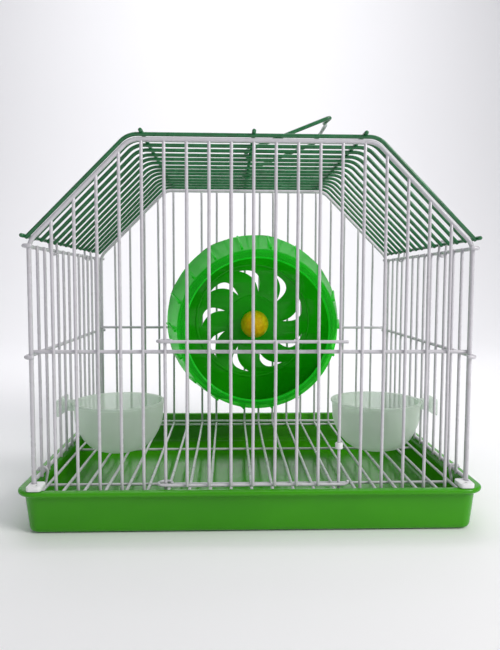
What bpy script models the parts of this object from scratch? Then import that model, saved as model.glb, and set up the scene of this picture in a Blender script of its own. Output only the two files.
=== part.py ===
"""Wire hamster cage on a moulded tray, with its wheel, bowls, door and carry handle.

Metres, +Z up.  The origin is the middle of the tray's underside.  The front, with the
door, faces -Y, and X runs to the right as seen from the front.
"""

import math

import bmesh
import bpy
from mathutils import Matrix, Vector

# ---------------------------------------------------------------- driving dimensions
GAP = 0.0003                      # air between two pieces that touch

CAGE_W = 0.254                    # between the middles of the two front corner posts
CAGE_L = 0.192                    # between the front and the back panel
MID_Z = 0.1056                    # wire that crosses the front and back panels half way
EAVE_Z = 0.1683                   # where the panels' outline turns in to the roof slope
ROOF_Z = 0.2258                   # flat top of the panels' outline
BEND_X = 0.0698                   # half the width of the flat top
FRONT_GAPS = 20                   # spaces between the uprights of a front or back panel
SIDE_WIRES = 14                   # uprights of a side panel
ROOF_WIRES = 15                   # bent cross wires of the roof
ROOF_WIRE_X = 0.0635              # lengthwise roof wires either side of the middle one

WIRE_R = 0.00095                  # uprights and door wires
CROSS_R = 0.0011                  # cross wires of the front and back panels
RAIL_R = 0.0012                   # side rails and all roof wires
FRAME_R = 0.0013                  # outline wire of the front and back panels, handle
WELD_SINK = 0.0005                # how far two crossed wires are pressed into each other
WIRE_SIDES_STEP = 1               # curve bevel steps: six sides round a wire

TRAY_H = 0.0262                   # from the underside to the top of the rim
TRAY_MARGIN_X = 0.0064            # tray wall outside the corner posts, across
TRAY_MARGIN_Y = 0.0057            # and along
TRAY_DRAFT = 0.0023               # how much the wall leans in towards the bottom
TRAY_EDGE_R = 0.0035              # rounding of the bottom edge
TRAY_RIM_OUT = 0.0036             # how far the rim stands out from the tray wall
TRAY_WALL = 0.002
TRAY_CORNER_R = 0.0095
RIM_DEPTH = 0.0028                # height of the rim's outer face

WHEEL_R = 0.0745                  # disc, over its scalloped edge
WHEEL_DEPTH = 0.056               # drum, from the disc to the front lip
WHEEL_TAPER = 0.012               # how much smaller the drum's front edge is than the disc
WHEEL_LIP = 0.0071                # how far the front lip reaches in
WHEEL_SAG = math.radians(3.5)     # the axle droops a little towards the front
WHEEL_YAW = math.radians(1.6)     # and leans a little to the right
AXLE_R = 0.0022
HUB_CAP_R = 0.0114
SLOTS = 9                         # crescent openings in the disc
RIBS = 18                         # ribs along the drum and scallops round the disc

BOWL_R = 0.0315
BOWL_RIM_Z = 0.0615
BOWL_FLOOR_Z = 0.026
BOWL_WALL = 0.0016

HANDLE_W = 0.076                  # between the two hinge loops
HANDLE_REACH = 0.0582             # from the hinge wire to the grip
HANDLE_TILT = math.radians(22.0)  # how far the handle stands up from the roof

# ------------------------------------------------------------- sizes that follow them
HALF_W = CAGE_W / 2
HALF_L = CAGE_L / 2
PITCH = CAGE_W / FRONT_GAPS
SLOPE = math.atan2(ROOF_Z - EAVE_Z, HALF_W - BEND_X)

TRAY_HALF_W = HALF_W + TRAY_MARGIN_X
TRAY_HALF_L = HALF_L + TRAY_MARGIN_Y
RIM_HALF_W = TRAY_HALF_W + TRAY_RIM_OUT
RIM_HALF_L = TRAY_HALF_L + TRAY_RIM_OUT

SIDE_X = HALF_W + FRAME_R + GAP + RAIL_R - (WIRE_R + RAIL_R - WELD_SINK)
RAIL_X = SIDE_X + WIRE_R + RAIL_R - WELD_SINK
SIDE_SPAN = CAGE_L - 0.009        # first to last upright of a side panel
SIDE_PITCH = SIDE_SPAN / (SIDE_WIRES - 1)
BOTTOM_RAIL_Z = TRAY_H + GAP + RAIL_R
MID_RAIL_Z = MID_Z - 0.0028
TOP_RAIL_Z = EAVE_Z - 0.0023

CROSS_IN = WIRE_R + CROSS_R - WELD_SINK      # cross wires lie inside the uprights
BOTTOM_WIRE_Z = TRAY_H - 0.0056
DOOR_BARS = 4                     # the doorway's posts are the 4th uprights off centre
DOOR_X = DOOR_BARS * PITCH

FLOOR_R = WIRE_R
FLOOR_Z = 0.0205
HOOK_R = 0.0009                   # the floor's cross wires, with turned-up ends
FLOOR_LAST_GAP = 12.2             # the rear one hooks on close to the rearmost upright

ROOF_OUT = FRAME_R + GAP + RAIL_R            # roof cross wires over the outline wire
ROOF_LONG_OUT = ROOF_OUT + 2 * RAIL_R - WELD_SINK
ROOF_PITCH = CAGE_L / (ROOF_WIRES - 1)
HINGE_Z = ROOF_Z + ROOF_LONG_OUT

WHEEL_FRONT_R = WHEEL_R - WHEEL_TAPER        # drum outside, at its front edge
WHEEL_MOUTH_R = WHEEL_FRONT_R - WHEEL_LIP    # opening inside the front lip

# ------------------------------------------------------------------------ scene set-up
for old in list(bpy.data.objects):
    bpy.data.objects.remove(old, do_unlink=True)

cage = bpy.data.collections.new("hamster_cage")
cutters = bpy.data.collections.new("cutters")
bpy.context.scene.collection.children.link(cage)
bpy.context.scene.collection.children.link(cutters)


def make_material(name, colour, roughness, metallic=0.0, alpha=1.0):
    material = bpy.data.materials.new(name)
    material.use_nodes = True
    shader = material.node_tree.nodes["Principled BSDF"]
    shader.inputs["Base Color"].default_value = (*colour, 1.0)
    shader.inputs["Roughness"].default_value = roughness
    shader.inputs["Metallic"].default_value = metallic
    shader.inputs["Alpha"].default_value = alpha
    return material


WHITE_WIRE = make_material("white_coated_wire", (0.82, 0.80, 0.83), 0.35)
GREEN_WIRE = make_material("green_coated_wire", (0.03, 0.16, 0.06), 0.35)
GREEN_TRAY = make_material("green_tray_plastic", (0.07, 0.30, 0.02), 0.4)
GREEN_DISC = make_material("deep_green_plastic", (0.02, 0.22, 0.01), 0.3)
GREEN_CLEAR = make_material("clear_green_plastic", (0.05, 0.50, 0.08), 0.2, alpha=0.6)
FROSTED = make_material("frosted_plastic", (0.55, 0.62, 0.54), 0.5, alpha=0.7)
YELLOW = make_material("yellow_plastic", (0.72, 0.42, 0.01), 0.35)
WHITE_PLASTIC = make_material("white_plastic", (0.85, 0.85, 0.85), 0.4)
STEEL = make_material("zinc_steel", (0.6, 0.6, 0.6), 0.35, metallic=1.0)


# ------------------------------------------------------------------------ shape tools
def as_piece(obj, name, material):
    """Name a finished object, colour it and put it with the cage's pieces."""
    for holder in list(obj.users_collection):
        holder.objects.unlink(obj)
    cage.objects.link(obj)
    obj.name = name
    obj.data.name = name
    obj.data.materials.clear()
    obj.data.materials.append(material)
    obj.data.shade_smooth()
    obj.data.set_sharp_from_angle(angle=math.radians(40))
    return obj


def as_cutter(obj):
    """Keep an object only as the second shape of a Boolean."""
    for holder in list(obj.users_collection):
        holder.objects.unlink(obj)
    cutters.objects.link(obj)
    obj.hide_render = True
    obj.display_type = 'WIRE'
    return obj


def combine(obj, other, operation):
    """Join another shape to obj, or cut it away, with a Boolean modifier."""
    modifier = obj.modifiers.new(operation.lower(), 'BOOLEAN')
    modifier.operation = operation
    modifier.solver = 'EXACT'
    modifier.object = as_cutter(other)
    return obj


def mesh_object(name, bm):
    mesh = bpy.data.meshes.new(name)
    bm.to_mesh(mesh)
    bm.free()
    obj = bpy.data.objects.new(name, mesh)
    cage.objects.link(obj)
    return obj


def curve_to_mesh(obj):
    """Turn a curve object into a closed mesh object in the same place."""
    bpy.context.view_layer.update()
    evaluated = obj.evaluated_get(bpy.context.evaluated_depsgraph_get())
    mesh = bpy.data.meshes.new_from_object(evaluated)
    bm = bmesh.new()
    bm.from_mesh(mesh)
    bmesh.ops.remove_doubles(bm, verts=bm.verts, dist=1e-6)
    bmesh.ops.recalc_face_normals(bm, faces=bm.faces)
    bm.to_mesh(mesh)
    bm.free()
    result = bpy.data.objects.new(obj.name + "_mesh", mesh)
    result.matrix_world = obj.matrix_world
    cage.objects.link(result)
    bpy.data.objects.remove(obj, do_unlink=True)
    return result


def wires(name, paths, radius):
    """Round wires along straight-sided paths that don't touch each other."""
    curve = bpy.data.curves.new(name, 'CURVE')
    curve.dimensions = '3D'
    curve.bevel_depth = radius
    curve.bevel_resolution = WIRE_SIDES_STEP
    curve.use_fill_caps = True
    for path in paths:
        spline = curve.splines.new('POLY')
        spline.points.add(len(path) - 1)
        for point, place in zip(spline.points, path):
            point.co = (*place, 1.0)
    obj = bpy.data.objects.new(name, curve)
    cage.objects.link(obj)
    return curve_to_mesh(obj)


def weld(name, groups, material):
    """One welded grille out of groups of wires; the groups cross each other."""
    grille = groups[0]
    for other in groups[1:]:
        combine(grille, other, 'UNION')
    return as_piece(grille, name, material)


def turned(name, profile, steps, closed):
    """A turned shape about local Z; the profile runs down its outer side first."""
    mesh = bpy.data.meshes.new(name)
    count = len(profile)
    edges = [(i, i + 1) for i in range(count - 1)]
    if closed:
        edges.append((count - 1, 0))
    mesh.from_pydata([(r, 0.0, z) for r, z in profile], edges, [])
    obj = bpy.data.objects.new(name, mesh)
    cage.objects.link(obj)
    screw = obj.modifiers.new("turn", 'SCREW')
    screw.axis = 'Z'
    screw.steps = steps
    screw.render_steps = steps
    screw.use_merge_vertices = True
    screw.merge_threshold = 1e-6
    return obj


def rod(name, start, end, radius, sides=16):
    """A straight round bar between two points."""
    start, end = Vector(start), Vector(end)
    bm = bmesh.new()
    bmesh.ops.create_cone(bm, cap_ends=True, segments=sides, radius1=radius,
                          radius2=radius, depth=(end - start).length)
    turn = Vector((0, 0, 1)).rotation_difference(end - start).to_matrix().to_4x4()
    bm.transform(Matrix.Translation((start + end) / 2) @ turn)
    return mesh_object(name, bm)


def block(name, low, high, rounding):
    """A box between two corners with rounded edges."""
    low, high = Vector(low), Vector(high)
    bm = bmesh.new()
    bmesh.ops.create_cube(bm, size=1.0)
    size = high - low
    bm.transform(Matrix.Translation((low + high) / 2) @ Matrix.Diagonal((*size, 1.0)))
    obj = mesh_object(name, bm)
    if rounding:
        bevel = obj.modifiers.new("round_edges", 'BEVEL')
        bevel.width = rounding
        bevel.segments = 1
    return obj


def outline_loop(half_w, half_l, corner, z, corner_steps=5):
    """Points of a rectangle with round corners, at height z."""
    points = []
    for quarter in range(4):
        cx = (half_w - corner) * (1 if quarter in (0, 3) else -1)
        cy = (half_l - corner) * (1 if quarter in (0, 1) else -1)
        for step in range(corner_steps + 1):
            angle = math.radians(90) * (quarter + step / corner_steps)
            points.append((cx + corner * math.cos(angle), cy + corner * math.sin(angle), z))
    return points


def arc(centre, radius, start, end, steps):
    """Points (a, b) along part of a circle, angles in degrees."""
    return [(centre[0] + radius * math.cos(math.radians(start + (end - start) * i / steps)),
             centre[1] + radius * math.sin(math.radians(start + (end - start) * i / steps)))
            for i in range(steps + 1)]


# ------------------------------------------------------------------------------- tray
def make_tray():
    """Moulded pan: rounded walls, and a flat rim that the cage stands on."""
    sections = []

    def ring(out, z):
        """One ring of the tray's surface, moved outwards from the top of its wall."""
        sections.append((TRAY_HALF_W + out, TRAY_HALF_L + out, TRAY_CORNER_R + out, z))

    for degrees in (0, 30, 60, 90):
        angle = math.radians(degrees)
        ring(-TRAY_DRAFT - TRAY_EDGE_R * (1 - math.sin(angle)), TRAY_EDGE_R * (1 - math.cos(angle)))
    rim_under = TRAY_H - RIM_DEPTH
    edge = 0.0007
    ring(0.0, rim_under + edge)
    ring(TRAY_RIM_OUT - edge, rim_under)
    ring(TRAY_RIM_OUT, rim_under + edge)
    ring(TRAY_RIM_OUT, TRAY_H - edge)
    ring(TRAY_RIM_OUT - edge, TRAY_H)
    ring(edge - TRAY_WALL, TRAY_H)
    ring(-TRAY_WALL, TRAY_H - edge)
    ring(-TRAY_WALL - TRAY_DRAFT, TRAY_EDGE_R + TRAY_WALL / 2)
    ring(-TRAY_DRAFT - TRAY_EDGE_R - edge, TRAY_WALL)
    bm = bmesh.new()
    loops = [[bm.verts.new(point) for point in outline_loop(*section)] for section in sections]
    count = len(loops[0])
    for lower, upper in zip(loops, loops[1:]):
        for i in range(count):
            j = (i + 1) % count
            bm.faces.new((lower[i], lower[j], upper[j], upper[i]))
    bm.faces.new(list(reversed(loops[0])))
    bm.faces.new(loops[-1])
    bmesh.ops.recalc_face_normals(bm, faces=bm.faces)
    as_piece(mesh_object("tray", bm), "tray", GREEN_TRAY)


# ------------------------------------------------------------------------- floor grid
def make_floor_grid():
    """Floor grille that hangs by turned-up wire ends from the side panels' bottom rails."""
    long_end = HALF_L - 0.0065
    along = [[(k * PITCH * 0.99, -long_end, FLOOR_Z), (k * PITCH * 0.99, long_end, FLOOR_Z)]
             for k in range(-FRONT_GAPS // 2, FRONT_GAPS // 2 + 1)]
    pressed = 0.73                # what the weld leaves of the two wires' radii
    cross_z = FLOOR_Z - pressed * (FLOOR_R + HOOK_R)
    clear = RAIL_R + HOOK_R + 0.0009
    riser_x = RAIL_X - 0.0015
    hook = [(RAIL_X + clear * math.cos(math.radians(angle)),
             BOTTOM_RAIL_Z + clear * math.sin(math.radians(angle)))
            for angle in (200, 140, 90, 40, 8)]
    hooked = [(riser_x, cross_z), (riser_x, cross_z + 0.003)] + hook
    plain = [(FRONT_GAPS / 2 * PITCH + 0.001, cross_z)]
    across = []
    for gap_number, half in ((1, hooked), (6.6, plain), (FLOOR_LAST_GAP, hooked)):
        y = -SIDE_SPAN / 2 + (gap_number + 0.5) * SIDE_PITCH
        across.append([(-x, y, z) for x, z in reversed(half)] + [(x, y, z) for x, z in half])
    weld("floor_grid", [wires("floor_along", along, FLOOR_R),
                        wires("floor_across", across, HOOK_R)], WHITE_WIRE)


# --------------------------------------------------------------- front and back panel
def outline_z(x):
    """Height of the panels' outline at a distance x from the middle."""
    if abs(x) <= BEND_X:
        return ROOF_Z
    return ROOF_Z - (abs(x) - BEND_X) * math.tan(SLOPE)


def make_end_panel(name, side, doorway):
    """Welded grille; side is -1 for the front and +1 for the back."""
    y = side * HALF_L
    inner_y = y - side * CROSS_IN
    post_foot = TRAY_H + 2 * GAP
    uprights = []
    for k in range(-FRONT_GAPS // 2 + 1, FRONT_GAPS // 2):
        x = k * PITCH
        foot = BOTTOM_WIRE_Z - 0.0012
        if doorway and abs(k) < DOOR_BARS:
            foot = MID_Z - 0.0012
        uprights.append([(x, y, foot), (x, y, outline_z(x))])
    frame = [(-HALF_W, y, post_foot), (-HALF_W, y, EAVE_Z), (-BEND_X, y, ROOF_Z),
             (BEND_X, y, ROOF_Z), (HALF_W, y, EAVE_Z), (HALF_W, y, post_foot)]
    bottom_end = HALF_W - 0.009
    crosses = [[(-HALF_W - 0.0006, inner_y, MID_Z), (HALF_W + 0.0006, inner_y, MID_Z)],
               [(-bottom_end, inner_y, BOTTOM_WIRE_Z), (bottom_end, inner_y, BOTTOM_WIRE_Z)]]
    weld(name, [wires(name + "_uprights", uprights, WIRE_R),
                wires(name + "_crosses", crosses, CROSS_R),
                wires(name + "_outline", [frame], FRAME_R)], WHITE_WIRE)


# ------------------------------------------------------------------------ side panels
def make_side_panel(name, side):
    """Welded grille; its upper rails hook round the posts of the front and back panels."""
    x = side * SIDE_X
    uprights = []
    for i in range(SIDE_WIRES):
        y = -SIDE_SPAN / 2 + i * SIDE_PITCH
        uprights.append([(x, y, BOTTOM_RAIL_Z - RAIL_R + 0.0001), (x, y, TOP_RAIL_Z + 0.0012)])
    turn_y = HALF_L + FRAME_R + GAP + RAIL_R
    half = [(RAIL_X, 0.0), (RAIL_X, turn_y - 0.0025), (RAIL_X - 0.0008, turn_y - 0.0006),
            (RAIL_X - 0.0026, turn_y), (RAIL_X - 0.0052, turn_y)]
    rails = []
    for z in (MID_RAIL_Z, TOP_RAIL_Z):
        front = [(side * px, -py, z) for px, py in reversed(half)]
        back = [(side * px, py, z) for px, py in half[1:]]
        rails.append(front + back)
    low_end = HALF_L - 0.0065
    rails.append([(side * RAIL_X, -low_end, BOTTOM_RAIL_Z), (side * RAIL_X, low_end, BOTTOM_RAIL_Z)])
    weld(name, [wires(name + "_uprights", uprights, WIRE_R),
                wires(name + "_rails", rails, RAIL_R)], WHITE_WIRE)


# -------------------------------------------------------------------------- roof panel
def raised_outline(out):
    """Points (x, z) of the panels' outline, moved outwards by a distance."""
    eave = (HALF_W + out * math.sin(SLOPE), EAVE_Z + out * math.cos(SLOPE))
    bend = (BEND_X + out * math.tan(SLOPE / 2), ROOF_Z + out)
    return [(-eave[0], eave[1]), (-bend[0], bend[1]), bend, eave]


def eave_wire_place():
    """Where the lengthwise eave wire lies, as (x, z) on the right-hand side."""
    x, z = raised_outline(ROOF_LONG_OUT)[3]
    up_slope = 0.0002
    return x - up_slope * math.cos(SLOPE), z + up_slope * math.sin(SLOPE)


def make_roof_panel():
    """Bent cross wires with five lengthwise wires welded over them."""
    bent = raised_outline(ROOF_OUT)
    cross = [[(x, -HALF_L + i * ROOF_PITCH, z) for x, z in bent] for i in range(ROOF_WIRES)]
    eave_x, eave_z = eave_wire_place()
    end = HALF_L + 0.0035
    places = [(-eave_x, eave_z), (-ROOF_WIRE_X, HINGE_Z), (0.0, HINGE_Z),
              (ROOF_WIRE_X, HINGE_Z), (eave_x, eave_z)]
    lengthwise = [[(x, -end, z), (x, end, z)] for x, z in places]
    weld("roof_panel", [wires("roof_cross", cross, RAIL_R),
                        wires("roof_lengthwise", lengthwise, RAIL_R)], GREEN_WIRE)


def make_roof_hooks():
    """Wire rings that tie the roof's eave wires to the side panels' top rails."""
    ring_r = 0.0008
    clear = RAIL_R + 0.00035 + ring_r
    eave_x, eave_z = eave_wire_place()
    lean = math.degrees(math.atan2(eave_z - TOP_RAIL_Z, eave_x - RAIL_X))
    front_y = -2.8 * ROOF_PITCH
    for row, y in (("front", front_y), ("back", 4.23 * ROOF_PITCH)):
        for side_name, side in (("left", -1), ("right", 1)):
            upper = arc((eave_x, eave_z), clear, lean - 90, lean + 90, 6)
            lower = arc((RAIL_X, TOP_RAIL_Z), clear, lean + 90, lean + 270, 6)
            ring = [(side * x, y, z) for x, z in upper + lower]
            curve = bpy.data.curves.new("ring", 'CURVE')
            curve.dimensions = '3D'
            curve.bevel_depth = ring_r
            curve.bevel_resolution = WIRE_SIDES_STEP
            spline = curve.splines.new('POLY')
            spline.points.add(len(ring) - 1)
            spline.use_cyclic_u = True
            for point, place in zip(spline.points, ring):
                point.co = (*place, 1.0)
            obj = bpy.data.objects.new("ring", curve)
            cage.objects.link(obj)
            as_piece(curve_to_mesh(obj), f"roof_hook_{row}_{side_name}", WHITE_WIRE)


# --------------------------------------------------------------------- corner feet
def make_feet():
    """White clips at the four corners: the posts stand in them, and they sit on the rim."""
    bottom = TRAY_H + GAP
    thickness = 0.0026
    small_hole_r = 0.0011
    for row, end in (("front", -1), ("back", 1)):
        for side_name, side in (("left", -1), ("right", 1)):
            xs = sorted((side * (HALF_W - 0.0062), side * (HALF_W + 0.0026)))
            ys = sorted((end * (HALF_L - 0.0032), end * (HALF_L + 0.0082)))
            foot = block("foot", (xs[0], ys[0], bottom), (xs[1], ys[1], bottom + thickness), 0.0006)
            for x, y, radius in ((side * HALF_W, end * HALF_L, FRAME_R + GAP),
                                 (side * (HALF_W - 0.002), end * (HALF_L + 0.0042), small_hole_r)):
                hole = rod("post_hole", (x, y, bottom - 0.002), (x, y, bottom + 0.006), radius, 12)
                combine(foot, hole, 'DIFFERENCE')
            as_piece(foot, f"foot_{row}_{side_name}", WHITE_PLASTIC)


# --------------------------------------------------------------------------- the door
def make_door():
    """Door grille in front of the doorway; its eyes go round the left-hand post."""
    wire_y = -HALF_L - (2 * WIRE_R + 0.00035)
    upright_y = wire_y - (2 * WIRE_R - WELD_SINK)
    top_z = MID_Z + 0.0062
    bottom_z = TRAY_H + 0.0015
    eye_r = 0.004
    eye = (-DOOR_X - 0.0004, wire_y + eye_r)
    crosses = []
    for z, tail in ((top_z, []), (bottom_z, [(0.0036, 0.0005), (0.0048, 0.0024)])):
        path = [(x, y, z) for x, y in reversed(arc(eye, eye_r, -90, -375, 12))]
        path.append((DOOR_X + 0.0022, wire_y, z))
        path += [(DOOR_X + dx, wire_y, z + dz) for dx, dz in tail] or [(DOOR_X + 0.0045, wire_y, z)]
        crosses.append(path)
    uprights = [[(k * PITCH, upright_y, bottom_z - 0.0004), (k * PITCH, upright_y, top_z + 0.0004)]
                for k in range(-DOOR_BARS + 1, DOOR_BARS)]
    door = weld("front_door", [wires("door_crosses", crosses, WIRE_R),
                               wires("door_uprights", uprights, WIRE_R)], WHITE_WIRE)
    hinge = Vector((-DOOR_X, -HALF_L, bottom_z))
    door.data.transform(Matrix.Translation(-hinge))
    door.location = hinge

    inside = WIRE_R + 0.0003
    outside = inside + 0.00105
    half = 0.0018
    ring = turned("latch", [(outside - 0.0003, half), (outside, half - 0.0005),
                            (outside, -half + 0.0005), (outside - 0.0003, -half),
                            (inside, -half), (inside, half)], 16, closed=True)
    ring.location = (DOOR_X, -HALF_L, bottom_z + 0.0225)
    as_piece(ring, "door_latch_ring", WHITE_WIRE)


# ----------------------------------------------------------------------- carry handle
def make_handle():
    """Bent wire bail whose end loops turn on the roof's middle lengthwise wire."""
    loop_r = RAIL_R + 0.00035 + FRAME_R
    half = HANDLE_W / 2
    loop = arc((0.0, 0.0), loop_r, 340, 90, 8)
    grip_dip = 0.0022
    side = [(x, z, half) for x, z in loop]
    side += [(HANDLE_REACH - 0.003, loop_r, half), (HANDLE_REACH, loop_r, half - 0.003),
             (HANDLE_REACH - grip_dip, loop_r, half - 0.011), (HANDLE_REACH, loop_r, half - 0.018)]
    near = [(x, -y, z) for x, z, y in side]
    far = [(x, y, z) for x, z, y in reversed(side)]
    handle = as_piece(wires("handle", [near + far], FRAME_R), "carry_handle", GREEN_WIRE)
    handle.location = (0.0, 0.0, HINGE_Z)
    handle.rotation_euler = (0.0, -HANDLE_TILT, 0.0)


# -------------------------------------------------------------------------- the wheel
BRACKET_HALF_H = 0.0054
BRACKET_T = 0.004
BRACKET_Y = HALF_L - WIRE_R - GAP - BRACKET_T          # the bracket's front face
WHEEL_BACK_SPACE = 0.0128                               # disc to the bracket's front face
BRACKET_Z = MID_Z + CROSS_R + 0.001 + BRACKET_HALF_H
AXLE_AT_DISC = Vector((PITCH / 2 + WHEEL_BACK_SPACE * math.tan(WHEEL_YAW),
                       BRACKET_Y - WHEEL_BACK_SPACE,
                       BRACKET_Z - WHEEL_BACK_SPACE * math.tan(WHEEL_SAG) / math.cos(WHEEL_YAW)))
BORE_R = AXLE_R + GAP
SPIGOT_R = WHEEL_R - 0.0034
SPIGOT_H = 0.0025


def crescent(angle):
    """Outline of one crescent opening, from its outer tip to its inner tip and back."""
    tip = Vector((0.6 * WHEEL_R * math.cos(angle), 0.6 * WHEEL_R * math.sin(angle)))
    turn = angle - math.radians(26)
    root = Vector((0.345 * WHEEL_R * math.cos(turn), 0.345 * WHEEL_R * math.sin(turn)))
    chord = root - tip
    bulge_way = Vector((-chord.y, chord.x)).normalized()
    steps = 5

    def bowed(depth, i):
        share = i / steps
        return tip + chord * share + bulge_way * depth * 4 * share * (1 - share)

    outer = [bowed(0.13 * WHEEL_R, i) for i in range(steps + 1)]
    inner = [bowed(0.06 * WHEEL_R, i) for i in range(steps - 1, 0, -1)]
    return outer + inner


def make_wheel(axis):
    """Disc with crescent openings, drum with ribs, axle, hub cap, bracket and nut."""
    thickness = 0.002
    curve = bpy.data.curves.new("disc", 'CURVE')
    curve.dimensions = '2D'
    curve.fill_mode = 'BOTH'
    curve.extrude = thickness / 2
    edge = []
    points_round = RIBS * 4
    for i in range(points_round):
        angle = math.tau * i / points_round
        radius = WHEEL_R - 0.0015 * (0.5 - 0.5 * math.cos(angle * RIBS / 2))
        edge.append(Vector((radius * math.cos(angle), radius * math.sin(angle))))
    first_tip = math.radians(26)
    outlines = [edge] + [crescent(first_tip + math.tau * i / SLOTS) for i in range(SLOTS)]
    for outline in outlines:
        spline = curve.splines.new('POLY')
        spline.points.add(len(outline) - 1)
        spline.use_cyclic_u = True
        for point, place in zip(spline.points, outline):
            point.co = (place.x, place.y, 0.0, 1.0)
    flat = bpy.data.objects.new("disc", curve)
    cage.objects.link(flat)
    disc = curve_to_mesh(flat)
    disc.data.transform(Matrix.Translation((0, 0, -thickness / 2)))

    boss_front = 0.0121
    boss = rod("boss", (0, 0, -0.005), (0, 0, boss_front), 0.0075, 20)
    spigot = turned("spigot", [(SPIGOT_R, SPIGOT_H), (SPIGOT_R, -0.001), (SPIGOT_R - 0.0016, -0.001),
                               (SPIGOT_R - 0.0016, SPIGOT_H)], 40, closed=True)
    bore = rod("bore", (0, 0, -0.01), (0, 0, 0.03), BORE_R, 16)
    for other, operation in ((boss, 'UNION'), (spigot, 'UNION'), (bore, 'DIFFERENCE')):
        other.parent = axis
        combine(disc, other, operation)
    disc.parent = axis
    as_piece(disc, "wheel_disc", GREEN_DISC)

    wall = 0.0017
    back_in = SPIGOT_R + 3 * GAP
    front_in = WHEEL_FRONT_R - wall
    drum = turned("drum", [
        (WHEEL_MOUTH_R + 0.0006, WHEEL_DEPTH + 0.0014), (WHEEL_FRONT_R - 0.001, WHEEL_DEPTH + 0.001),
        (WHEEL_FRONT_R, WHEEL_DEPTH - 0.001), (back_in + wall, GAP), (back_in, GAP),
        (front_in, WHEEL_DEPTH - 0.0024), (WHEEL_MOUTH_R, WHEEL_DEPTH - 0.0006)], 40, closed=True)
    rib_set = bmesh.new()
    lean = math.atan2(back_in + wall - WHEEL_FRONT_R, WHEEL_DEPTH)
    for i in range(RIBS):
        box = bmesh.ops.create_cube(rib_set, size=1.0)["verts"]
        shape = Matrix.Diagonal((0.0028, 0.0016, WHEEL_DEPTH - 0.006, 1.0))
        place = Matrix.Translation(((back_in + wall + WHEEL_FRONT_R) / 2, 0, WHEEL_DEPTH / 2))
        spin = Matrix.Rotation(math.radians(1) + math.tau * i / RIBS, 4, 'Z')
        slant = Matrix.Rotation(-lean, 4, 'Y')
        bmesh.ops.transform(rib_set, matrix=spin @ place @ slant @ shape, verts=box)
    ribs = mesh_object("ribs", rib_set)
    ribs.parent = axis
    drum.parent = axis
    combine(drum, ribs, 'UNION')
    as_piece(drum, "wheel_drum", GREEN_CLEAR)

    cap_z = 0.0205
    flat_z = boss_front + GAP
    start = math.degrees(math.asin((flat_z - cap_z) / HUB_CAP_R))
    ball = [(r, cap_z + z) for r, z in reversed(arc((0, 0), HUB_CAP_R, start, 90, 8))]
    ball[0] = (0.0, ball[0][1])
    hollow = [(BORE_R, flat_z), (BORE_R, cap_z + 0.003), (0.0, cap_z + 0.003)]
    cap = turned("cap", ball + hollow, 20, closed=False)
    cap.parent = axis
    as_piece(cap, "hub_cap", YELLOW)

    behind = (WHEEL_BACK_SPACE + BRACKET_T) / math.cos(WHEEL_SAG)
    axle = rod("axle", (0, 0, -behind - 0.0075), (0, 0, cap_z + 0.0025), AXLE_R, 16)
    axle.parent = axis
    as_piece(axle, "wheel_axle", STEEL)

    half_w = PITCH / 2 + 0.0056
    x = PITCH / 2
    bracket = block("bracket", (x - half_w, BRACKET_Y, BRACKET_Z - BRACKET_HALF_H),
                    (x + half_w, BRACKET_Y + BRACKET_T, BRACKET_Z + BRACKET_HALF_H), 0.0008)
    collar = rod("collar", (0, 0, -0.0056), (0, 0, -WHEEL_BACK_SPACE - 0.002), 0.005, 16)
    bracket_bore = rod("bracket_bore", (0, 0, 0), (0, 0, -0.03), BORE_R, 16)
    for other, operation in ((collar, 'UNION'), (bracket_bore, 'DIFFERENCE')):
        other.parent = axis
        combine(bracket, other, operation)
    as_piece(bracket, "wheel_bracket", GREEN_DISC)

    outer_y = HALF_L + WIRE_R + GAP
    nut = block("nut", (x - half_w, outer_y, BRACKET_Z - 0.006),
                (x + half_w, outer_y + 0.0025, BRACKET_Z + 0.006), 0.0006)
    knob = rod("knob", (x, outer_y + 0.001, BRACKET_Z + 0.0005),
               (x, outer_y + 0.0065, BRACKET_Z + 0.0005), 0.0058, 12)
    nut_bore = rod("nut_bore", (0, 0, -0.01), (0, 0, -0.04), BORE_R, 16)
    nut_bore.parent = axis
    combine(nut, knob, 'UNION')
    combine(nut, nut_bore, 'DIFFERENCE')
    as_piece(nut, "wheel_nut", GREEN_DISC)


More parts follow.
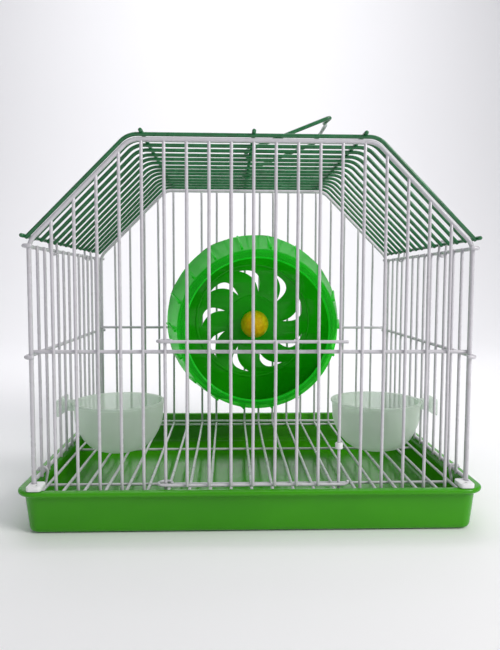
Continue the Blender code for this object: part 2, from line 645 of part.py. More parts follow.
# --------------------------------------------------------------------------- the bowls
def make_bowl(name, side):
    """Cup hung on a side panel: its neck goes between two wires to a plate outside."""
    neck_z = BOWL_RIM_Z - 0.0035
    y = -SIDE_PITCH
    centre_x = side * (SIDE_X - WIRE_R - 0.0033 - BOWL_R)
    depth = BOWL_RIM_Z - BOWL_FLOOR_Z
    foot_r = 0.4 * BOWL_R
    outer = [(BOWL_R + 0.0008, 0.0), (BOWL_R + 0.0008, -0.0016), (BOWL_R, -0.002),
             (BOWL_R - 0.0006, -0.35 * depth), (0.88 * BOWL_R, -0.62 * depth),
             (0.68 * BOWL_R, -0.86 * depth), (foot_r, -depth), (0.0, -depth)]
    inner = [(0.0, -depth + BOWL_WALL), (foot_r, -depth + BOWL_WALL),
             (0.68 * BOWL_R - 0.0012, -0.86 * depth + 0.0013),
             (0.88 * BOWL_R - BOWL_WALL, -0.62 * depth + 0.0007),
             (BOWL_R - 0.0006 - BOWL_WALL, -0.35 * depth), (BOWL_R - BOWL_WALL, -0.002),
             (BOWL_R - BOWL_WALL, 0.0)]
    cup = turned(name, outer + inner, 28, closed=False)
    cup.data.transform(Matrix.Translation((0, 0, BOWL_RIM_Z - neck_z)))
    bm = bmesh.new()
    bm.from_mesh(cup.data)
    bm.verts.ensure_lookup_table()
    bm.edges.new((bm.verts[-1], bm.verts[0]))
    bm.to_mesh(cup.data)
    bm.free()
    cup.location = (centre_x, y, neck_z)

    plate_in = SIDE_X + WIRE_R + 0.0024
    plate_out = plate_in + 0.0022
    neck_start = abs(centre_x) + BOWL_R - 0.0022
    neck = rod("neck", (side * neck_start, y, neck_z), (side * (plate_in + 0.001), y, neck_z), 0.004, 12)
    xs = sorted((side * plate_in, side * plate_out))
    half_h = (SIDE_PITCH - 2 * WIRE_R) / 2 - 0.0003
    plate = block("plate", (xs[0], y - 0.013, neck_z - half_h), (xs[1], y + 0.013, neck_z + half_h), 0.0006)
    combine(cup, neck, 'UNION')
    combine(cup, plate, 'UNION')
    as_piece(cup, name, FROSTED)


# ---------------------------------------------------------------------------- assembly
make_tray()
make_floor_grid()
make_end_panel("front_panel", -1, doorway=True)
make_end_panel("back_panel", 1, doorway=False)
make_side_panel("side_panel_left", -1)
make_side_panel("side_panel_right", 1)
make_roof_panel()
make_roof_hooks()
make_feet()
make_door()
make_handle()

wheel_axis = bpy.data.objects.new("wheel_axis", None)
cage.objects.link(wheel_axis)
wheel_axis.location = AXLE_AT_DISC
wheel_axis.rotation_euler = (math.radians(90) + WHEEL_SAG, 0.0, WHEEL_YAW)
make_wheel(wheel_axis)

make_bowl("bowl_left", -1)
make_bowl("bowl_right", 1)
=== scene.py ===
import math

import bmesh
import bpy
from mathutils import Matrix, Vector, noise


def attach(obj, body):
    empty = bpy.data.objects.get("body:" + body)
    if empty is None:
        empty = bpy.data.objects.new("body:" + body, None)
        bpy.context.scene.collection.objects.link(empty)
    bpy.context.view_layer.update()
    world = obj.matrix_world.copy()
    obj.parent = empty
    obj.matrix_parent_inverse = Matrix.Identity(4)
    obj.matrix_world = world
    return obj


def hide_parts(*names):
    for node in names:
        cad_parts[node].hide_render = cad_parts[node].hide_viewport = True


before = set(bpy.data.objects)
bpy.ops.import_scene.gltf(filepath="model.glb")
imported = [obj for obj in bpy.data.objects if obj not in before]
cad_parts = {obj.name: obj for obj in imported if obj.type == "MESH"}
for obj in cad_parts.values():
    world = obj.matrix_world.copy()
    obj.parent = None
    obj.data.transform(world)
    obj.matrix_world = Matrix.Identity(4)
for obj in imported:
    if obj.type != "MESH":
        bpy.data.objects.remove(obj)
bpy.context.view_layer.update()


# ============================================================ studio: camera, floor, light
# The cage stands on a pale sweep of studio paper that curves up behind it.  A big soft
# light stands to the right in front, with weaker ones to the left, above and behind.

def to_world(forward, right, up, place):
    """The matrix of a camera at a place, from its own three directions."""
    columns = Matrix((right, up, -forward)).transposed().to_4x4()
    return Matrix.Translation(place) @ columns


yaw, nod, roll = 0.0346, 0.0713, 0.0036     # radians
camera_place = Vector((-0.01381, -0.44112, 0.14597))
sensor_width, lens_share = 36.0, 12 / 13    # mm, and the lens's length as a share of it
forward = Vector((math.sin(yaw) * math.cos(nod), math.cos(yaw) * math.cos(nod), -math.sin(nod)))
level = Vector((math.cos(yaw), -math.sin(yaw), 0.0))
upward = level.cross(forward)
eye = bpy.data.cameras.new("camera")
eye.sensor_width = sensor_width
eye.lens = sensor_width * lens_share
eye.clip_start = 0.01
camera = bpy.data.objects.new("camera", eye)
camera.matrix_world = to_world(forward, level * math.cos(roll) + upward * math.sin(roll),
                               upward * math.cos(roll) - level * math.sin(roll), camera_place)
bpy.context.scene.collection.objects.link(camera)
bpy.context.scene.camera = camera

paper_z, curve_r = -0.0002, 0.9             # the paper starts to curve up as far back as its radius
sweep_bm = bmesh.new()
sweep_line = [(-4.0, paper_z), (curve_r, paper_z)]
for degrees in range(6, 91, 6):
    turn = math.radians(degrees)
    sweep_line.append((curve_r + curve_r * math.sin(turn), paper_z + curve_r - curve_r * math.cos(turn)))
sweep_line += [(2 * curve_r, 5.0)]
rows = [[sweep_bm.verts.new((x, y, z)) for x in (-5.0, -1.5, 1.5, 5.0)] for y, z in sweep_line]
for near_row, far_row in zip(rows, rows[1:]):
    for i in range(3):
        sweep_bm.faces.new((near_row[i], near_row[i + 1], far_row[i + 1], far_row[i]))
sweep_mesh = bpy.data.meshes.new("paper_sweep")
sweep_bm.to_mesh(sweep_mesh)
sweep_bm.free()
sweep_mesh.shade_smooth()
sweep = bpy.data.objects.new("paper_sweep", sweep_mesh)
bpy.context.scene.collection.objects.link(sweep)
paper = bpy.data.materials.new("studio_paper")
paper.use_nodes = True
paper_shader = paper.node_tree.nodes["Principled BSDF"]
paper_shader.inputs["Roughness"].default_value = 0.9
paper_shader.inputs["Specular IOR Level"].default_value = 0.1
paper_noise = paper.node_tree.nodes.new("ShaderNodeTexNoise")
paper_noise.inputs["Scale"].default_value = 3.0
paper_tint = paper.node_tree.nodes.new("ShaderNodeValToRGB")
paper_tint.color_ramp.elements[0].color = (0.87, 0.867, 0.88, 1)
paper_tint.color_ramp.elements[1].color = (0.90, 0.897, 0.91, 1)
paper.node_tree.links.new(paper_noise.outputs["Fac"], paper_tint.inputs["Fac"])
paper.node_tree.links.new(paper_tint.outputs["Color"], paper_shader.inputs["Base Color"])
sweep_mesh.materials.append(paper)


def soft_light(name, place, aim, size, power, colour):
    """A square light of a size in metres and a power in watts, turned towards a point."""
    lamp = bpy.data.lights.new(name, 'AREA')
    lamp.size = size
    lamp.energy = power
    lamp.color = colour
    holder = bpy.data.objects.new(name, lamp)
    holder.location = place
    holder.rotation_euler = (Vector(aim) - Vector(place)).to_track_quat('-Z', 'Y').to_euler()
    bpy.context.scene.collection.objects.link(holder)


soft_light("key_light", (0.80, -0.62, 0.70), (0.0, 0.0, 0.10), 0.5, 9.0, (1.0, 0.985, 0.96))
soft_light("fill_light", (-0.9, -0.9, 0.45), (0.0, 0.0, 0.10), 0.9, 0.8, (0.94, 0.95, 1.0))
soft_light("top_light", (0.0, 0.15, 1.3), (0.0, 0.0, 0.1), 1.2, 3.5, (1.0, 1.0, 1.0))
soft_light("back_light", (0.0, 0.75, 1.3), (0.0, 1.6, 0.4), 1.4, 13.0, (0.98, 0.98, 1.0))

sky = bpy.data.worlds.new("studio")
sky.use_nodes = True
sky.node_tree.nodes["Background"].inputs["Color"].default_value = (0.93, 0.93, 0.97, 1)
sky.node_tree.nodes["Background"].inputs["Strength"].default_value = 0.34
bpy.context.scene.world = sky
bpy.context.scene.view_settings.view_transform = 'Standard'


# ======================================================================== the tray
# A shallow pan, injection-moulded in one piece from leaf green polypropylene.  Its walls
# lean out a little, and a flat rim turns out all round for the wire cage to sit on.

def new_finish(name):
    """A material, its node tree and its main shader."""
    material = bpy.data.materials.new(name)
    material.use_nodes = True
    return material, material.node_tree, material.node_tree.nodes["Principled BSDF"]


def cloud(tree, scale, detail=3.0, stretch=(1.0, 1.0, 1.0)):
    """Soft random patches fixed to the piece; scale is in patches per metre."""
    place = tree.nodes.new("ShaderNodeTexCoord")
    squeeze = tree.nodes.new("ShaderNodeMapping")
    squeeze.inputs["Scale"].default_value = stretch
    patches = tree.nodes.new("ShaderNodeTexNoise")
    patches.inputs["Scale"].default_value = scale
    patches.inputs["Detail"].default_value = detail
    tree.links.new(place.outputs["Object"], squeeze.inputs["Vector"])
    tree.links.new(squeeze.outputs["Vector"], patches.inputs["Vector"])
    return patches.outputs["Fac"]


def tint(tree, amount, *stops):
    """A colour that follows an amount; stops are (position, colour)."""
    ramp = tree.nodes.new("ShaderNodeValToRGB")
    elements = ramp.color_ramp.elements
    while len(elements) < len(stops):
        elements.new(0.5)
    for element, (position, colour) in zip(elements, stops):
        element.position = position
        element.color = (*colour, 1.0)
    tree.links.new(amount, ramp.inputs["Fac"])
    return ramp.outputs["Color"]


def spread(tree, amount, low, high):
    """A plain number between low and high that follows an amount."""
    scale = tree.nodes.new("ShaderNodeMapRange")
    scale.inputs["From Min"].default_value = 0.3
    scale.inputs["From Max"].default_value = 0.7
    scale.inputs["To Min"].default_value = low
    scale.inputs["To Max"].default_value = high
    tree.links.new(amount, scale.inputs["Value"])
    return scale.outputs["Result"]


def dented(tree, amount, depth, strength=1.0, over=None):
    """Fine relief in the surface, on top of another relief if one is given."""
    relief = tree.nodes.new("ShaderNodeBump")
    relief.inputs["Strength"].default_value = strength
    relief.inputs["Distance"].default_value = depth
    tree.links.new(amount, relief.inputs["Height"])
    if over:
        tree.links.new(over, relief.inputs["Normal"])
    return relief.outputs["Normal"]


def ready(name, bm, material, body, node, smooth=40):
    """Make the piece from its mesh, colour it, and let it stand for its CAD node."""
    bmesh.ops.recalc_face_normals(bm, faces=bm.faces)
    mesh = bpy.data.meshes.new(name)
    bm.to_mesh(mesh)
    bm.free()
    piece = bpy.data.objects.new(name, mesh)
    bpy.context.scene.collection.objects.link(piece)
    mesh.materials.append(material)
    mesh.shade_smooth()
    mesh.set_sharp_from_angle(angle=math.radians(smooth))
    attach(piece, body)
    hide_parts(node)
    return piece


def rounded_rectangle(half_x, half_y, corner, z, steps=10):
    """Points round a rectangle with round corners."""
    points = []
    for quarter in range(4):
        centre_x = (half_x - corner) * (1 if quarter in (0, 3) else -1)
        centre_y = (half_y - corner) * (1 if quarter in (0, 1) else -1)
        for step in range(steps + 1):
            turn = math.radians(90) * (quarter + step / steps)
            points.append((centre_x + corner * math.cos(turn), centre_y + corner * math.sin(turn), z))
    return points


wall_x, wall_y, wall_corner = 0.1334, 0.1017, 0.0095     # outside of the wall at its top
least_corner = 0.0014
# each section, from the underside out, up, over the rim and in: distance outside the wall, height
tray_sections = [
    (-0.0058, 0.0000), (-0.0049, 0.0001), (-0.0041, 0.0005), (-0.0033, 0.0010), (-0.0028, 0.0017),
    (-0.0025, 0.0025), (-0.0023, 0.0035), (-0.0003, 0.0212), (-0.0001, 0.0222), (0.0003, 0.0229),
    (0.0010, 0.0233), (0.0024, 0.0234), (0.0030, 0.0235), (0.0034, 0.0239), (0.0036, 0.0244),
    (0.0036, 0.0251), (0.0034, 0.0256), (0.0030, 0.0260), (0.0023, 0.0262), (-0.0010, 0.0262),
    (-0.0016, 0.0260), (-0.0020, 0.0254), (-0.0043, 0.0060), (-0.0049, 0.0037), (-0.0058, 0.0026),
    (-0.0070, 0.0021), (-0.0080, 0.0020)]
tray_bm = bmesh.new()
tray_rings = [[tray_bm.verts.new(p) for p in
               rounded_rectangle(wall_x + out, wall_y + out, max(wall_corner + out, least_corner), z)]
              for out, z in tray_sections]
for lower, upper in zip(tray_rings, tray_rings[1:]):
    for i in range(len(lower)):
        j = (i + 1) % len(lower)
        tray_bm.faces.new((lower[i], lower[j], upper[j], upper[i]))
tray_bm.faces.new(tray_rings[0])
tray_bm.faces.new(tray_rings[-1])

tray_plastic, tree, shader = new_finish("leaf_green_polypropylene")
flow = cloud(tree, 14, 2.0, (1.0, 1.0, 2.5))
shade_of_green = tint(tree, flow, (0.35, (0.040, 0.285, 0.004)), (0.65, (0.048, 0.320, 0.005)))
tree.links.new(shade_of_green, shader.inputs["Base Color"])
tree.links.new(spread(tree, cloud(tree, 70, 5.0), 0.09, 0.19), shader.inputs["Roughness"])
shader.inputs["Specular IOR Level"].default_value = 0.26
moulded = dented(tree, cloud(tree, 900, 2.0), 0.00004, 0.5)
tree.links.new(dented(tree, cloud(tree, 24, 1.0), 0.0006, 0.35, moulded), shader.inputs["Normal"])
shader.inputs["Subsurface Weight"].default_value = 0.12
shader.inputs["Subsurface Radius"].default_value = (0.002, 0.004, 0.001)
shader.inputs["Subsurface Scale"].default_value = 1.0
ready("tray_pan", tray_bm, tray_plastic, "tray", "tray", 50)


# ================================================================= the wire floor grid
# Steel wires dipped in white plastic: twenty-one run front to back and three cross below
# them.  The first and last cross wires turn up and hook over the side panels' bottom rails.

def tube(bm, path, radius, sides=10, closed=False):
    """Sweep a round wire along a path; loose ends come out slightly rounded."""
    points = [Vector(p) for p in path]
    count = len(points)
    if closed:
        ways = [(points[(i + 1) % count] - points[i - 1]).normalized() for i in range(count)]
    else:
        ways = [(points[min(i + 1, count - 1)] - points[max(i - 1, 0)]).normalized()
                for i in range(count)]
    stations = [(p, way, radius) for p, way in zip(points, ways)]
    if not closed:
        tip, way, _ = stations[0]
        stations[0:1] = [(tip, way, radius * 0.35), (tip + way * radius * 0.2, way, radius * 0.8),
                         (tip + way * radius * 0.6, way, radius)]
        tip, way, _ = stations[-1]
        stations[-1:] = [(tip - way * radius * 0.6, way, radius),
                         (tip - way * radius * 0.2, way, radius * 0.8), (tip, way, radius * 0.35)]
    side = stations[0][1].orthogonal().normalized()
    rings = []
    for place, way, size in stations:
        side = (side - way * side.dot(way)).normalized()
        other = way.cross(side)
        rings.append([bm.verts.new(place + (side * math.cos(math.tau * i / sides)
                                            + other * math.sin(math.tau * i / sides)) * size)
                      for i in range(sides)])
    pairs = list(zip(rings, rings[1:])) + ([(rings[-1], rings[0])] if closed else [])
    for ring, following in pairs:
        for i in range(sides):
            j = (i + 1) % sides
            bm.faces.new((ring[i], ring[j], following[j], following[i]))
    if not closed:
        bm.faces.new(rings[0])
        bm.faces.new(rings[-1])


noise.seed_set(4)       # else Blender seeds it from the clock, and the wires differ at each run


def drawn(start, end, sway=0.00014, step=0.011):
    """A straight wire's path, with the faint waviness of straightened coil wire."""
    start, end = Vector(start), Vector(end)
    length = (end - start).length
    way = (end - start) / length
    pieces = max(2, round(length / step))
    path = []
    for i in range(pieces + 1):
        place = start + way * (length * i / pieces)
        drift = noise.noise_vector(place * 32.0 + start * 900.0) * sway
        path.append(place + (drift - way * drift.dot(way)) * math.sin(math.pi * i / pieces))
    return path


def bent(corners, radius, steps=6):
    """A path whose inner corners are bent round, as on a wire bender."""
    corners = [Vector(c) for c in corners]
    path = [corners[0]]
    for before, corner, after in zip(corners, corners[1:], corners[2:]):
        back, on = (before - corner), (after - corner)
        half = back.angle(on) / 2
        if half > math.radians(89):
            path.append(corner)
            continue
        reach = min(radius / math.tan(half), 0.49 * back.length, 0.49 * on.length)
        size = reach * math.tan(half)
        back, on = back.normalized(), on.normalized()
        centre = corner + (back + on).normalized() * (size / math.sin(half))
        first, last = (corner + back * reach - centre), (corner + on * reach - centre)
        sweep_angle = first.angle(last)
        for i in range(steps + 1):
            share = i / steps
            blend = first * math.sin((1 - share) * sweep_angle) + last * math.sin(share * sweep_angle)
            path.append(centre + blend / math.sin(sweep_angle))
    path.append(corners[-1])
    return path


half_width, half_length = 0.127, 0.096      # corner posts
pitch = 0.0127                              # between neighbouring uprights
side_x, rail_x = 0.12815, 0.1298            # side panels' uprights and rails
rail_z, rail_reach = 0.0277, 0.0895         # side panels' lowest rails, which carry the grid
side_span = 0.183                           # from a side panel's first upright to its last
side_pitch = side_span / 13
wire_r, cross_r, rail_r, frame_r = 0.00095, 0.0011, 0.0012, 0.0013

white_coat, tree, shader = new_finish("white_dipped_wire_coating")
chips = tint(tree, cloud(tree, 210, 2.0), (0.0, (0.535, 0.52, 0.56)), (0.5, (0.59, 0.575, 0.615)),
             (0.79, (0.535, 0.515, 0.545)), (0.86, (0.45, 0.40, 0.38)))
tree.links.new(chips, shader.inputs["Base Color"])
tree.links.new(spread(tree, cloud(tree, 120, 3.0), 0.22, 0.38), shader.inputs["Roughness"])
tree.links.new(dented(tree, cloud(tree, 420, 2.0), 0.00012, 0.6), shader.inputs["Normal"])
shader.inputs["Coat Weight"].default_value = 0.35
shader.inputs["Coat Roughness"].default_value = 0.15

floor_bm = bmesh.new()
floor_z, floor_pitch = 0.0205, 0.99 * pitch
under_z, under_r = 0.01915, 0.0009          # the cross wires below
hook_x, hook_foot_z, hook_r = 0.1283, 0.0222, 0.003
middle_y, hooked_ys = 0.00844, (-0.07038, 0.08733)
for k in range(-10, 11):
    x = k * floor_pitch
    tube(floor_bm, drawn((x, -rail_reach, floor_z), (x, rail_reach, floor_z), 0.0002), wire_r)
tube(floor_bm, drawn((-0.128, middle_y, under_z), (0.128, middle_y, under_z), 0.0001), under_r)
for y in hooked_ys:
    hook = [(rail_x + hook_r * math.cos(math.radians(a)), rail_z + hook_r * math.sin(math.radians(a)))
            for a in (200, 178, 156, 134, 112, 90, 68, 46, 24, 8)]
    half = [(hook_x, under_z), (hook_x, hook_foot_z)] + hook
    path = [(-x, y, z) for x, z in reversed(half)] + [(x, y, z) for x, z in half]
    # the two hooks are bent tightly, the two corners between them more widely
    tube(floor_bm, bent(path[:11], 0.001, 2)[:-1] + bent(path[10:14], 0.0018, 4)[1:-1]
         + bent(path[13:], 0.001, 2)[1:], under_r)
ready("floor_grid_wires", floor_bm, white_coat, "cage", "floor_grid")


# ================================================================ front and back panels
# Two welded grilles of white coated wire.  A thicker wire, bent to the cage's outline, carries
# the uprights' tops; thin cross wires are welded across the inside.  The front panel leaves
# out the lower half of seven uprights for the doorway.

eave_z, roof_z, bend_x, mid_z = 0.1683, 0.2258, 0.0698, 0.1056
slope = math.atan2(roof_z - eave_z, half_width - bend_x)
upright_foot, post_foot = 0.0194, 0.0268
low_cross_z, low_cross_reach = 0.0206, 0.118


def outline_height(x):
    """Height of the panels' outline wire at a distance from the middle."""
    return roof_z if abs(x) <= bend_x else roof_z - (abs(x) - bend_x) * math.tan(slope)


def end_grille(bm, side, doorway):
    """The wires of the front (side -1) or back (side 1) panel."""
    y = side * half_length
    inside = y - side * 0.00155
    for k in range(-9, 10):
        foot = mid_z - 0.0012 if doorway and abs(k) < 4 else upright_foot
        x = k * pitch
        lean = 0.0 if doorway else 0.0005 * math.sin(k * 2.3)
        tube(bm, drawn((x, y, foot), (x + lean, y, outline_height(x + lean) - 0.0004)), wire_r)
    outline = [(-half_width, y, post_foot), (-half_width, y, eave_z), (-bend_x, y, roof_z),
               (bend_x, y, roof_z), (half_width, y, eave_z), (half_width, y, post_foot)]
    tube(bm, bent(outline, 0.012, 9), frame_r, 12)
    reach = half_width + 0.0006
    tube(bm, drawn((-reach, inside, mid_z), (reach, inside, mid_z), 0.0002), cross_r)
    tube(bm, drawn((-low_cross_reach, inside, low_cross_z), (low_cross_reach, inside, low_cross_z), 0.0001),
         cross_r)


front_bm = bmesh.new()
end_grille(front_bm, -1, doorway=True)
ready("front_panel_wires", front_bm, white_coat, "cage", "front_panel")

back_bm = bmesh.new()
end_grille(back_bm, 1, doorway=False)
ready("back_panel_wires", back_bm, white_coat, "cage", "back_panel")


# ======================================================================== side panels
# Fourteen upright wires a side, welded to three rails outside them.  The upper two rails
# are hooked round the corner posts; the lowest lies just inside the tray's rim.

upright_low, upright_high = 0.0266, 0.1672
mid_rail_z, top_rail_z = mid_z - 0.0028, eave_z - 0.0023
turn_y = 0.0988                             # outside of the hooks round the corner posts
for side, hand in ((-1, "left"), (1, "right")):
    side_bm = bmesh.new()
    for i in range(14):
        y = -side_span / 2 + i * side_pitch
        tube(side_bm, drawn((side * side_x, y, upright_low), (side * side_x, y, upright_high)), wire_r)
    hook_end = [(rail_x - 0.0003, turn_y - 0.0018), (rail_x - 0.0013, turn_y - 0.0005),
                (rail_x - 0.0028, turn_y), (rail_x - 0.0052, turn_y)]
    straight_end = turn_y - 0.0045
    for z in (mid_rail_z, top_rail_z):
        front = [(side * x, -y, z) for x, y in reversed(hook_end)]
        back = [(side * x, y, z) for x, y in hook_end]
        straight = drawn((side * rail_x, -straight_end, z), (side * rail_x, straight_end, z), 0.0002)
        tube(side_bm, front + straight + back, rail_r, 12)
    tube(side_bm, drawn((side * rail_x, -rail_reach, rail_z), (side * rail_x, rail_reach, rail_z), 0.0001),
         rail_r, 12)
    ready(f"side_panel_{hand}_wires", side_bm, white_coat, "cage", f"side_panel_{hand}")


# ======================================================================== corner feet
# Four small white nylon clips.  A corner post stands in each one's hole, and the clip
# rests on the tray's rim and keeps the wire off the plastic.

def bevelled_block(bm, low, high, rounding, segments=3):
    """A box with rounded edges."""
    made = bmesh.ops.create_cube(bm, size=1.0)["verts"]
    low, high = Vector(low), Vector(high)
    bmesh.ops.transform(bm, verts=made, matrix=Matrix.Translation((low + high) / 2)
                        @ Matrix.Diagonal((*(high - low), 1.0)))
    bm.edges.index_update()
    edges = sorted({edge for vert in made for edge in vert.link_edges}, key=lambda edge: edge.index)
    bmesh.ops.bevel(bm, geom=edges, offset=rounding, segments=segments, profile=0.5, affect='EDGES')


def circle(x, y, radius, steps=28):
    """Points round a circle."""
    return [(x + radius * math.cos(math.tau * i / steps), y + radius * math.sin(math.tau * i / steps))
            for i in range(steps)]


def cut_plate(outlines, thickness, rounding):
    """A flat plate about z = 0: the first outline is its edge, the others are holes."""
    flat = bpy.data.curves.new("plate", 'CURVE')
    flat.dimensions = '2D'
    flat.fill_mode = 'BOTH'
    flat.extrude = thickness / 2 - rounding
    flat.bevel_depth = rounding
    flat.bevel_resolution = 1
    flat.offset = -rounding
    for outline in outlines:
        spline = flat.splines.new('POLY')
        spline.points.add(len(outline) - 1)
        spline.use_cyclic_u = True
        for point, (x, y) in zip(spline.points, outline):
            point.co = (x, y, 0.0, 1.0)
    holder = bpy.data.objects.new("plate", flat)
    bpy.context.scene.collection.objects.link(holder)
    bpy.context.view_layer.update()
    mesh = bpy.data.meshes.new_from_object(holder.evaluated_get(bpy.context.evaluated_depsgraph_get()))
    bm = bmesh.new()
    bm.from_mesh(mesh)
    bmesh.ops.remove_doubles(bm, verts=bm.verts, dist=1e-6)
    bpy.data.objects.remove(holder, do_unlink=True)
    return bm


def lathe(bm, profile, steps, matrix=None, closed=False):
    """Turn a profile of (radius, height) about Z, then move it by a matrix."""
    matrix = matrix or Matrix.Identity(4)
    rings = []
    for radius, height in profile:
        if radius < 1e-7:
            rings.append([bm.verts.new(matrix @ Vector((0, 0, height)))])
            continue
        rings.append([bm.verts.new(matrix @ Vector((radius * math.cos(math.tau * i / steps),
                                                    radius * math.sin(math.tau * i / steps), height)))
                      for i in range(steps)])
    for ring, following in list(zip(rings, rings[1:])) + ([(rings[-1], rings[0])] if closed else []):
        for i in range(steps if len(ring) + len(following) > 2 else 0):
            j = (i + 1) % steps
            if len(ring) == 1:
                bm.faces.new((ring[0], following[j], following[i]))
            elif len(following) == 1:
                bm.faces.new((ring[i], ring[j], following[0]))
            else:
                bm.faces.new((ring[i], ring[j], following[j], following[i]))


white_nylon, tree, shader = new_finish("white_nylon_clip")
tree.links.new(tint(tree, cloud(tree, 300, 3.0), (0.3, (0.78, 0.78, 0.79)), (0.7, (0.85, 0.85, 0.86))),
               shader.inputs["Base Color"])
tree.links.new(spread(tree, cloud(tree, 500), 0.3, 0.45), shader.inputs["Roughness"])
tree.links.new(dented(tree, cloud(tree, 1200), 0.00004, 0.5), shader.inputs["Normal"])
shader.inputs["Subsurface Weight"].default_value = 0.1
shader.inputs["Subsurface Radius"].default_value = (0.002, 0.002, 0.002)

clip_x, clip_y, clip_z = 0.1252, 0.0985, 0.0278
post_hole_r, small_hole_r = 0.0016, 0.0011
clip_outline = rounded_rectangle(0.0044, 0.0057, 0.0022, 0.0, 5)
for row, end in (("front", -1), ("back", 1)):
    for hand, side in (("left", -1), ("right", 1)):
        middle = Vector((side * clip_x, end * clip_y))
        edge = [(middle.x + x, middle.y + y) for x, y, _ in clip_outline]
        post_hole = circle(side * half_width, end * half_length, post_hole_r)
        small_hole = circle(side * 0.1250, end * 0.1002, small_hole_r)
        foot_bm = cut_plate([edge, post_hole, small_hole], 0.0026, 0.0004)
        bmesh.ops.translate(foot_bm, verts=foot_bm.verts, vec=(0.0, 0.0, clip_z))
        ready(f"corner_clip_{row}_{hand}", foot_bm, white_nylon, "cage", f"foot_{row}_{hand}")


# ========================================================================= roof panel
# Fifteen wires bent over the outline of the end panels, and five welded lengthwise on
# top of them, all dipped in dark green.  The lengthwise ends stand out past the panels.

green_coat, tree, shader = new_finish("dark_green_dipped_wire_coating")
# The coat's colour varies at random across the wires; its palest stop paints pale-green highlights into the
# colour.
dip_tone_and_painted_highlight = tint(tree, cloud(tree, 160, 3.0), (0.25, (0.007, 0.105, 0.030)),
                    (0.6, (0.012, 0.150, 0.046)), (0.8, (0.03, 0.21, 0.08)))
tree.links.new(dip_tone_and_painted_highlight, shader.inputs["Base Color"])
tree.links.new(spread(tree, cloud(tree, 120, 3.0), 0.20, 0.36), shader.inputs["Roughness"])
tree.links.new(dented(tree, cloud(tree, 420, 2.0), 0.00012, 0.6), shader.inputs["Normal"])
shader.inputs["Coat Weight"].default_value = 0.4
shader.inputs["Coat Roughness"].default_value = 0.15


def raised_outline(out):
    """The panels' outline from eave to eave, moved outwards."""
    eave = (half_width + out * math.sin(slope), eave_z + out * math.cos(slope))
    bend = (bend_x + out * math.tan(slope / 2), roof_z + out)
    return [(-eave[0], eave[1]), (-bend[0], bend[1]), bend, eave]


roof_pitch = 2 * half_length / 14
bent_out, long_out = 0.0028, 0.0047         # the two layers of wire, outside the outline
long_reach, inner_x = half_length + 0.0035, 0.0635
hinge_z = roof_z + long_out
roof_bm = bmesh.new()
for i in range(15):
    y = -half_length + i * roof_pitch
    ripple = 0.0004 * math.sin(i * 1.9)
    corners = [(x, y + ripple * (abs(x) < 0.1), z) for x, z in raised_outline(bent_out)]
    tube(roof_bm, bent(corners, 0.013, 9), rail_r)
eave_x, eave_long_z = raised_outline(long_out)[3]
eave_x -= 0.0002 * math.cos(slope)
eave_long_z += 0.0002 * math.sin(slope)
for x, z in ((-eave_x, eave_long_z), (-inner_x, hinge_z - 0.0002), (0.0, hinge_z),
             (inner_x, hinge_z - 0.0002), (eave_x, eave_long_z)):
    tube(roof_bm, drawn((x, -long_reach, z), (x, long_reach, z), 0.0001), rail_r, 12)
ready("roof_panel_wires", roof_bm, green_coat, "cage", "roof_panel")


# ===================================================================== roof tie rings
# Four short lengths of white wire, closed with pliers round the roof's eave wire and the
# side panel's top rail, two a side.

tie_r = 0.0008
clear = rail_r + 0.00035 + tie_r
lean = math.atan2(eave_long_z - top_rail_z, eave_x - rail_x)
for row, y in (("front", -2.8 * roof_pitch), ("back", 4.23 * roof_pitch)):
    for hand, side in (("left", -1), ("right", 1)):
        ring = []
        for (cx, cz), first in (((eave_x, eave_long_z), -90), ((rail_x, top_rail_z), 90)):
            for step in range(11):
                turn = lean + math.radians(first + 18 * step)
                ring.append((side * (cx + clear * math.cos(turn)), y, cz + clear * math.sin(turn)))
        ring_bm = bmesh.new()
        tube(ring_bm, ring, tie_r, 10, closed=True)
        ready(f"roof_tie_{row}_{hand}", ring_bm, white_coat, "cage", f"roof_hook_{row}_{hand}")


# ====================================================================== the front door
# A small grille of the same white wire, hung outside the doorway.  Its two cross wires
# are curled into eyes round the left-hand post, and the lower one ends in a thumb hook.

door_bm = bmesh.new()
door_y, door_upright_y = -0.09825, -0.09965
door_top, door_bottom = 0.1118, 0.0277
eye_x, eye_r = -0.0512, 0.004
plain_end = [(0.0553, 0.0)]                 # across and up, from the cross wire's height
thumb_hook = [(0.0540, 0.0002), (0.0556, 0.0012), (0.0558, 0.0026)]
for z, tail in ((door_top, plain_end), (door_bottom, thumb_hook)):
    curl = [(eye_x + eye_r * math.cos(math.radians(a)), door_y + eye_r + eye_r * math.sin(math.radians(a)), z)
            for a in range(-375, -89, 15)]
    straight = drawn((-0.0485, door_y, z), (0.0520, door_y, z), 0.0002)
    tube(door_bm, curl + straight + [(x, door_y, z + up) for x, up in tail], wire_r, 10)
for k in range(-3, 4):
    lean = 0.0003 * math.sin(k * 1.7)
    tube(door_bm, drawn((k * pitch, door_upright_y, door_bottom - 0.0004),
                        (k * pitch + lean, door_upright_y, door_top + 0.0006)), wire_r)
ready("door_wires", door_bm, white_coat, "door", "front_door")


# ==================================================================== door latch ring
# A little white plastic collar that slides on the right-hand post of the doorway and
# holds the door's free side shut.

collar_place = Vector((0.0508, -half_length, 0.0502))
latch_bm = bmesh.new()
lathe(latch_bm, [(0.0019, 0.0018), (0.0022, 0.0015), (0.0023, 0.0010), (0.00215, 0.0), (0.0023, -0.0010),
                 (0.0022, -0.0015), (0.0019, -0.0018), (0.0013, -0.0018), (0.00125, -0.0014),
                 (0.00125, 0.0014), (0.0013, 0.0018)], 24, Matrix.Translation(collar_place), closed=True)
ready("latch_collar", latch_bm, white_nylon, "latch", "door_latch_ring")


# ======================================================================== carry handle
# One length of dark green wire.  Its ends are curled round the roof's middle lengthwise
# wire, and its grip has a slight dent on each side where it was bent.

